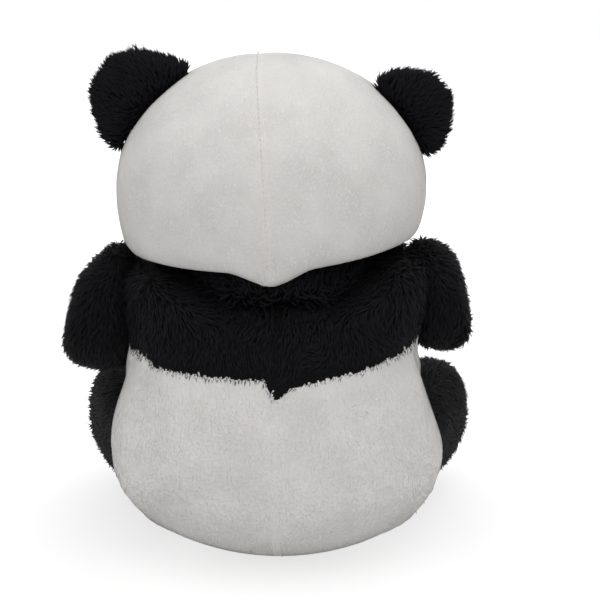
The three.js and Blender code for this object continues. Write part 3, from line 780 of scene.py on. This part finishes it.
def sewing_nodes():
    """Lays one stitch after another along a line, each turned by an angle from its course."""
    tree = bpy.data.node_groups.new("sewing", "GeometryNodeTree")
    tree.interface.new_socket("Line", in_out="INPUT", socket_type="NodeSocketGeometry")
    for label, kind in (("Stitch", "NodeSocketObject"), ("Thread", "NodeSocketMaterial"),
                        ("Pitch", "NodeSocketFloat"), ("Length", "NodeSocketFloat"),
                        ("Turn", "NodeSocketFloat")):
        tree.interface.new_socket(label, in_out="INPUT", socket_type=kind)
    tree.interface.new_socket("Seam", in_out="OUTPUT", socket_type="NodeSocketGeometry")
    given = node(tree, "NodeGroupInput").outputs
    course = node(tree, "GeometryNodeMeshToCurve", {"Mesh": given["Line"]})
    spaced = node(tree, "GeometryNodeResampleCurve", {
        "Curve": course.outputs[0], "Length": given["Pitch"]}, mode="LENGTH")
    along = node(tree, "GeometryNodeInputTangent").outputs[0]
    out = node(tree, "GeometryNodeInputNamedAttribute", {"Name": "out"}, data_type="FLOAT_VECTOR")
    pointed = node(tree, "FunctionNodeAlignRotationToVector", {"Vector": along}, axis="X")
    raised = node(tree, "FunctionNodeAlignRotationToVector", {
        "Rotation": pointed.outputs[0], "Vector": out.outputs[0]}, axis="Z", pivot_axis="X")
    slant = node(tree, "FunctionNodeAxisAngleToRotation", {
        "Axis": (0, 0, 1), "Angle": given["Turn"]})
    turned = node(tree, "FunctionNodeRotateRotation", {
        "Rotation": raised.outputs[0], "Rotate By": slant.outputs[0]}, rotation_space="LOCAL")
    shape = node(tree, "GeometryNodeObjectInfo", {"Object": given["Stitch"]})
    stitches = node(tree, "GeometryNodeInstanceOnPoints", {
        "Points": spaced.outputs[0], "Instance": shape.outputs["Geometry"],
        "Rotation": turned.outputs[0], "Scale": given["Length"]})
    real = node(tree, "GeometryNodeRealizeInstances", {"Geometry": stitches.outputs[0]})
    dressed = node(tree, "GeometryNodeSetMaterial", {
        "Geometry": real.outputs[0], "Material": given["Thread"]})
    node(tree, "NodeGroupOutput", {"Seam": dressed.outputs[0]})
    return tree


def spun(name, dark, light):
    """Twisted polyester thread: a low gloss that its plies break up, 0.5 mm apart."""
    material, tree, shader = blank(name)
    place = node(tree, "ShaderNodeTexCoord").outputs["Object"]
    plies = node(tree, "ShaderNodeTexWave", {
        "Vector": place, "Scale": 600.0, "Distortion": 2.0}, bands_direction="DIAGONAL")
    tint = node(tree, "ShaderNodeMix", {
        0: plies.outputs["Fac"], 6: linear(dark), 7: linear(light)}, data_type="RGBA")
    tree.links.new(tint.outputs[2], shader.inputs["Base Color"])
    shader.inputs["Roughness"].default_value = 0.55
    shader.inputs["Specular IOR Level"].default_value = 0.4
    return material


SEWING = sewing_nodes()
run_stitch = stitch(0.3)


def sewn(name, line, outs, body, slot, shape, thread, **sizes):
    """Stitches along a line. outs says which way is up from the fabric at its points."""
    seam = linked(name, bpy.data.meshes.new(name))
    seam.data.from_pydata(line.tolist(), [(i, i + 1) for i in range(len(line) - 1)], [])
    out = seam.data.attributes.new("out", "FLOAT_VECTOR", "POINT")
    out.data.foreach_set("vector", outs.astype(np.float32).ravel())
    worked(seam, SEWING, {"Stitch": shape, "Thread": thread, **sizes})
    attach(seam, body)
    return seam


# The seam is sewn from inside with white thread, and its stitches show as small puckers. They
# run from the neck over the crown to the face, and stand just clear of the cloth.
head_skin = skin(head)
HEAD_MIDDLE = 0.5 * (HEAD_RIM + head_top)
HEAD_RADIUS = 0.07
SEAM_STAND = 0.0012
course, course_out = [], []
for angle in range(-36, 176, 4):
    slope = np.array([0, math.cos(math.radians(angle)), math.sin(math.radians(angle))])
    start = Vector((float(head_seam(HEAD_MIDDLE + HEAD_RADIUS * slope[2])), 0, HEAD_MIDDLE))
    hit, facing, _, _ = head_skin.ray_cast(start + Vector(0.3 * slope), Vector(-slope))
    course.append(hit + SEAM_STAND * facing)
    course_out.append(facing)
sewn("head_seam_stitches", np.array(course), np.array(course_out), "head", "white_plush",
     run_stitch, spun("spun_polyester_thread_white", "c9c5bf", "e2dfdb"),
     Pitch=0.0032, Length=0.002, Turn=0.0)

# ---------------------------------------------------------------- muzzle, nose and mouth
# A small stuffed bag of white plush, sewn on the face. The nose is moulded ABS on a stem that a
# washer locks behind the fabric. Lip and mouth are embroidered in black satin stitch.

MUZZLE_SEWN = 0.007  # how far its back edge is drawn into the face
MUZZLE_SEWN_FROM = -0.082  # the fabric behind this place is drawn in, all of it 8 mm further on


def muzzle_shape(points):
    """Its back edge is sewn down into the face."""
    moved = points.copy()
    moved[:, 1] += MUZZLE_SEWN * np.clip((points[:, 1] - MUZZLE_SEWN_FROM) / 0.008, 0, 1)
    return moved


muzzle = stuffed("muzzle_bag", ["muzzle_panel", "muzzle_stuffing"], "head", depth=0.0003,
                 rounding=1, swell=0.0005, voxel=0.002, shape=muzzle_shape)
muzzle.data.materials.append(white_knit)
MUZZLE_MIDDLE = np.array(0.5 * (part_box("muzzle_panel")[0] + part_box("muzzle_panel")[1]))


def muzzle_cover(points, normals):
    """Clear of the nose."""
    low, high = (np.array(corner)[[0, 2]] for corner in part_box("nose"))
    near = ((points[:, [0, 2]] > low) & (points[:, [0, 2]] < high)).all(1)
    return (~near & (points[:, 1] < MUZZLE_MIDDLE[1] + 0.03)).astype(float), np.ones(len(points))


pile("muzzle_pile", muzzle, "head", "white_plush", white_tuft, white_fibres,
     lambda p, n: p - MUZZLE_MIDDLE + [0, 0, -0.01], muzzle_cover,
     Density=1200000.0, Length=0.0035, Lean=3.0, Wildness=0.3, Softness=0.97, Variation=0.04,
     Seed=47)
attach(muzzle, "head")
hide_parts("muzzle_panel", "muzzle_stuffing")


def moulded(name, dark, light, roughness):
    """Injection-moulded plastic, with the faint unevenness that its mould leaves."""
    material, tree, shader = blank(name)
    place = node(tree, "ShaderNodeTexCoord").outputs["Object"]
    flow = node(tree, "ShaderNodeTexNoise", {"Vector": place, "Scale": 400.0, "Detail": 3.0})
    tint = node(tree, "ShaderNodeMix", {
        0: flow.outputs["Fac"], 6: linear(dark), 7: linear(light)}, data_type="RGBA")
    dull = node(tree, "ShaderNodeMapRange", {
        "Value": flow.outputs["Fac"], "To Min": 0.8 * roughness, "To Max": 1.3 * roughness})
    tree.links.new(tint.outputs[2], shader.inputs["Base Color"])
    tree.links.new(dull.outputs[0], shader.inputs["Roughness"])
    shader.inputs["IOR"].default_value = 1.53
    shader.inputs["Specular IOR Level"].default_value = 0.35
    return material


black_abs = moulded("moulded_abs_black_gloss", "050506", "0c0c0e", 0.12)
washer_plastic = moulded("moulded_polypropylene_natural", "cfcdc6", "dddbd5", 0.45)


def plastic_piece(name, cad, pressed):
    """A moulded piece on the head, in the place of its faceted CAD node.

    It is pressed into the pile behind it by that much.
    """
    piece = refined(merged(name, [cad], 0.0007, 7))
    write(piece.data, read(piece.data) + [0, pressed, 0])
    piece.data.materials.append(black_abs)
    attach(piece, "head")
    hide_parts(cad)
    return piece


NOSE_PRESSED, EYE_PRESSED = 0.004, 0.0012
plastic_piece("nose_moulding", "nose", NOSE_PRESSED)
frame["nodes"]["nose_washer"].data.materials.clear()
frame["nodes"]["nose_washer"].data.materials.append(washer_plastic)


def middle_line(cad, axis, count):
    """The middle of an embroidered CAD line: the mean of its points in slices along an axis."""
    points = read(frame["nodes"][cad].data)
    share = (points[:, axis] - points[:, axis].min()) / np.ptp(points[:, axis])
    cut = np.minimum((share * count).astype(int), count - 1)
    return np.array([points[cut == each].mean(0) for each in range(count) if (cut == each).any()])


SATIN_STAND = 0.0011  # how far the stitches stand off the cloth
muzzle_skin = skin(muzzle)
black_thread = spun("spun_polyester_thread_black", "08080a", "17171a")
satin_stitch = stitch(0.25)
for name, cad, axis, count in (
    ("lip_satin", "lip_stitch", 2, 4), ("mouth_satin", "mouth_stitch", 0, 12),
):
    on_cloth = [muzzle_skin.find_nearest(Vector(p)) for p in middle_line(cad, axis, count)]
    line = np.array([place + SATIN_STAND * facing for place, facing, _, _ in on_cloth])
    outs = np.array([facing for _, facing, _, _ in on_cloth])
    satin = sewn(name, line, outs, "head", "black_thread", satin_stitch, black_thread,
                 Pitch=0.00045, Length=0.0024, Turn=math.radians(75))
    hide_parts(cad)

# ---------------------------------------------------------------- eyes
# Each eye is a black moulded dome on a stem, which a washer locks behind the face. It stands on
# an oval patch of black plush with a short pile, sewn flat on the face.

HEAD_PLACE = np.array([HEAD_SEAM_LOW, 0, HEAD_MIDDLE])
EYE_DEPTH = 0.004  # from the front of the dome to its widest part
EYE_RIM = 0.0062
for side in ("left", "right"):
    plastic_piece(f"eye_moulding_{side}", f"eye_{side}", EYE_PRESSED)
    frame["nodes"][f"eye_washer_{side}"].data.materials.clear()
    frame["nodes"][f"eye_washer_{side}"].data.materials.append(washer_plastic)
    patch = stuffed(f"eye_patch_cloth_{side}", [f"eye_patch_{side}"], "head", depth=0, rounding=1,
                    voxel=0.0012)
    patch.data.materials.append(black_knit)
    eye_low, eye_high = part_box(f"eye_{side}")
    eye_spot = np.array([
        0.5 * (eye_low.x + eye_high.x), eye_low.y + EYE_DEPTH, 0.5 * (eye_low.z + eye_high.z)])

    def patch_cover(points, normals, eye_spot=eye_spot):
        """On the outer face, up to the eye's rim."""
        outwards = (normals * (points - HEAD_PLACE)).sum(1) > 0.02
        clear = np.linalg.norm(points - eye_spot, axis=1) > EYE_RIM
        return (outwards & clear).astype(float), np.ones(len(points))

    pile(f"eye_patch_pile_{side}", patch, "head", "black_plush", black_tuft, black_fibres,
         lambda p, n, eye_spot=eye_spot: p - eye_spot, patch_cover,
         Density=1800000.0, Length=0.0034, Lean=1.6, Wildness=0.4, Softness=0.45, Variation=0.45,
         Seed=48)
    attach(patch, "head")
    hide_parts(f"eye_patch_{side}")

# ---------------------------------------------------------------- arms, legs and ears
# Stuffed bags of black plush with a longer pile, each sewn on at one patch. The ears have the
# longest pile, which stands up in spikes.

limb_tuft = tuft(0.16, 0.35, ((-0.06, 1.0), (0.45, 0.8)))
ear_tuft = tuft(0.2, 0.25, ((-0.06, 1.0), (0.45, 0.8)))
JOINTS = {joint["child"]: joint for joint in frame["joints"]}
# A leg's pile starts this far off the torso's bag, low down and higher up.
LEG_LOW, LEG_CLEAR_LOW, LEG_CLEAR_HIGH = 0.035, 0.016, 0.004
# Sizes taken from a limb's joint.
ARM_TOP = 0.034  # height of an arm's upper side
ARM_DRAWN_IN = 0.011  # how far its root is drawn in beside the head
ARM_RAISED = 0.02  # and raised
LEG_ROUND_FROM, LEG_ROUND_DEPTH = 0.004, 0.042  # a leg rounds off below this, over this
EAR_FOOT = 0.025  # length of an ear's widened root
EAR_FOOT_WIDER = 0.25
EAR_TIP_LOWER = 0.08


def bared(points, bag_skin, reach):
    """0 for a point that is inside a bag or within reach of it, and 1 for any other."""
    gaps = []
    for point in points:
        place, facing, _, _ = bag_skin.find_nearest(Vector(point))
        gaps.append((Vector(point) - place).dot(facing))
    return (np.array(gaps) > reach).astype(float)


def limb(body, parts, comb, shape, tuft_shape, depth, rounding, swell, fill, **sizes):
    """A black limb with its pile. shape takes each point's place from the joint, and moves it."""
    nodes = [f"{body}_{part}" for part in parts]
    root = np.array(JOINTS[body]["pos_m"])
    bag = stuffed(f"{body}_bag", nodes, body, depth, rounding, swell,
                  shape=lambda p: root + shape(p - root))
    bag.data.materials.append(black_knit)

    def cover(points, normals):
        shown = 1 - touched(points, body, PILE_CLEAR)
        shown *= np.clip((points[:, 2] - 0.001) / 0.005, 0, 1)
        if body.startswith("leg"):
            clear = np.where(points[:, 2] < LEG_LOW, LEG_CLEAR_LOW, LEG_CLEAR_HIGH)
            shown *= bared(points, torso_skin, clear)
        return shown, np.ones(len(points))

    pile(f"{body}_pile", bag, body, "black_plush", tuft_shape, black_fibres, comb, cover,
         Softness=0.4, Variation=0.45, **sizes)
    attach(bag, body)
    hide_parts(*nodes)


# The toy isn't quite even: slim is each arm's share of its solid's thickness, and lift how far
# it sits above it.
for side, sign, slim, lift in (("left", 1, 1.06, -0.003), ("right", -1, 0.85, 0.01)):
    arm_out = -sign * np.array(JOINTS[f"arm_{side}"]["axis"])
    leg_out = -sign * np.array(JOINTS[f"leg_{side}"]["axis"])
    ear_along = np.array(JOINTS[f"ear_{side}"]["axis"])
    ear_out = np.cross(ear_along, (0, 1, 0))

    def arm_shape(place):
        """High beside the head, falling away outwards. The right arm sits higher and flatter."""
        out = place @ arm_out
        top = np.clip(place[:, 2] / ARM_TOP, 0, 1)
        inwards = ARM_DRAWN_IN * top * np.clip(1 - out / 0.012, 0, 1)
        moved = place + arm_out * (out * (slim - 1) - inwards)[:, None]
        beside_head = np.clip(1 - (out - 0.013) / 0.022, 0, 1)
        moved[:, 2] += lift + (ARM_RAISED - lift) * top * beside_head
        return moved

    def leg_shape(place):
        """Round below: the outer side draws in towards the floor."""
        out = place @ leg_out
        below = np.clip((LEG_ROUND_FROM - place[:, 2]) / LEG_ROUND_DEPTH, 0, 0.93)
        behind = np.clip((place[:, 1] + 0.07) / 0.05, 0.5, 1)
        drawn = out * (behind * below ** 2 - sign * 0.06) + 0.012 * below * (behind - 0.5)
        return place - leg_out * drawn[:, None]

    def ear_shape(place):
        """Its root widens and follows the head's curve, and its tip is lower than the solid's."""
        out = place @ ear_out
        along = place @ ear_along
        foot = 1 - np.clip(out / EAR_FOOT, 0, 1)
        drop = EAR_TIP_LOWER * np.maximum(out, 0) + foot * (0.003 + along ** 2 / 0.12)
        wider = EAR_FOOT_WIDER * foot * along
        return place - ear_out * drop[:, None] + ear_along * wider[:, None]

    limb(f"arm_{side}", ("outer", "inner", "stuffing"),
         lambda p, n: np.array([sign * 0.3, -0.5, -1.0]) + 0.7 * ripple(p, 0.04, 51),
         arm_shape, limb_tuft, depth=0.004, rounding=14, swell=0.003, fill=0.8,
         Density=560000.0, Length=0.007, Lean=1.2, Wildness=0.5, Seed=52 + sign)
    limb(f"leg_{side}", ("outer", "inner", "sole", "stuffing"),
         lambda p, n: np.array([sign * 0.4, -0.8, -0.6]) + 0.6 * ripple(p, 0.04, 61),
         leg_shape, limb_tuft, depth=0.004, rounding=14, swell=0.003, fill=0.8,
         Density=520000.0, Length=0.007, Lean=1.2, Wildness=0.45, Seed=62 + sign)
    limb(f"ear_{side}", ("front", "back", "stuffing"),
         lambda p, n: (ear_out + 25 * (p - JOINTS[f"ear_{side}"]["pos_m"])
                       + 0.4 * ripple(p, 0.02, 71)),
         ear_shape, ear_tuft, depth=0.0025, rounding=4, swell=0.002, fill=0.6,
         Density=1000000.0, Length=0.0068, Lean=1.1, Wildness=0.45, Seed=72 + sign)

for holder in (white_tuft, black_tuft, limb_tuft, ear_tuft, run_stitch, satin_stitch):
    bpy.data.objects.remove(holder)
